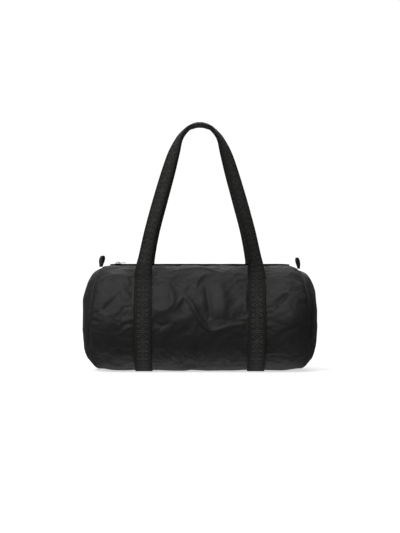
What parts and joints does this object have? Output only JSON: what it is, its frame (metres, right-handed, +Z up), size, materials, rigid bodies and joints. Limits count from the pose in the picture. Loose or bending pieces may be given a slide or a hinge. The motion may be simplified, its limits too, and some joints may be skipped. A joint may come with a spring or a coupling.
{
  "type": "duffel bag",
  "caption": "Soft barrel duffel bag with domed ends, a zipped mouth along its top, tall webbing handles that fold down at the front and back, and a small webbing loop at each end of the zip.",
  "frame": {"origin": "on the floor, under the middle of the bag", "axes": "+X along the bag towards the end where the zip opens to, +Y from the front to the back, +Z up"},
  "size_m": [0.52, 0.2476, 0.5546],
  "materials": {
    "shell_nylon": "black satin nylon",
    "webbing": "black woven webbing with a tone-on-tone geometric weave",
    "binding_tape": "black grosgrain",
    "zip_tape": "black woven tape",
    "zip_coil": "black coil",
    "zip_metal": "nickel"
  },
  "bodies": {
    "root": {"main_panel": "shell_nylon", "end_panel_left": "shell_nylon", "end_panel_right": "shell_nylon", "seam_binding_left": "binding_tape", "seam_binding_right": "binding_tape", "strap_left": "webbing", "strap_right": "webbing", "zip_tape_front_left": "zip_tape", "zip_tape_front_right": "zip_tape", "zip_tape_back_left": "zip_tape", "zip_tape_back_right": "zip_tape", "zip_coil_front_left": "zip_coil", "zip_coil_front_right": "zip_coil", "zip_coil_back_left": "zip_coil", "zip_coil_back_right": "zip_coil", "zip_top_stop_front": "zip_metal", "zip_top_stop_back": "zip_metal", "zip_bottom_stop": "zip_metal"},
    "front_flap": {"mouth_panel_front": "shell_nylon", "zip_tape_front": "zip_tape", "zip_coil_front": "zip_coil"},
    "back_flap": {"mouth_panel_back": "shell_nylon", "zip_tape_back": "zip_tape", "zip_coil_back": "zip_coil"},
    "slider": {"zip_slider": "zip_metal", "zip_crown": "zip_metal"},
    "pull": {"zip_pull": "zip_metal"},
    "front_handle": {"handle_front": "webbing"},
    "back_handle": {"handle_back": "webbing"},
    "left_loop": {"end_loop_left": "webbing"},
    "right_loop": {"end_loop_right": "webbing"}
  },
  "joints": [
    {"name": "front_flap_fold", "type": "hinge", "parent": "root", "child": "front_flap", "pos_m": [0, -0.07336, 0.2104], "axis": [1, 0, 0], "range_deg": [0, 60]},
    {"name": "back_flap_fold", "type": "hinge", "parent": "root", "child": "back_flap", "pos_m": [0, 0.07336, 0.2104], "axis": [-1, 0, 0], "range_deg": [0, 60]},
    {"name": "zip_slide", "type": "slide", "parent": "root", "child": "slider", "axis": [1, 0, 0], "range_m": [0, 0.369]},
    {"name": "pull_swing", "type": "hinge", "parent": "slider", "child": "pull", "pos_m": [-0.183, 0, 0.2394], "axis": [0, -1, 0], "range_deg": [0, 180]},
    {"name": "front_handle_fold", "type": "hinge", "parent": "root", "child": "front_handle", "pos_m": [0, -0.0838, 0.2079], "axis": [1, 0, 0], "range_deg": [0, 112]},
    {"name": "back_handle_fold", "type": "hinge", "parent": "root", "child": "back_handle", "pos_m": [0, 0.0838, 0.2079], "axis": [-1, 0, 0], "range_deg": [0, 112]},
    {"name": "left_loop_fold", "type": "hinge", "parent": "root", "child": "left_loop", "pos_m": [-0.2215, 0, 0.23296], "axis": [0, -1, 0], "range_deg": [-35, 75]},
    {"name": "right_loop_fold", "type": "hinge", "parent": "root", "child": "right_loop", "pos_m": [0.2215, 0, 0.23296], "axis": [0, 1, 0], "range_deg": [-35, 75]}
  ]
}
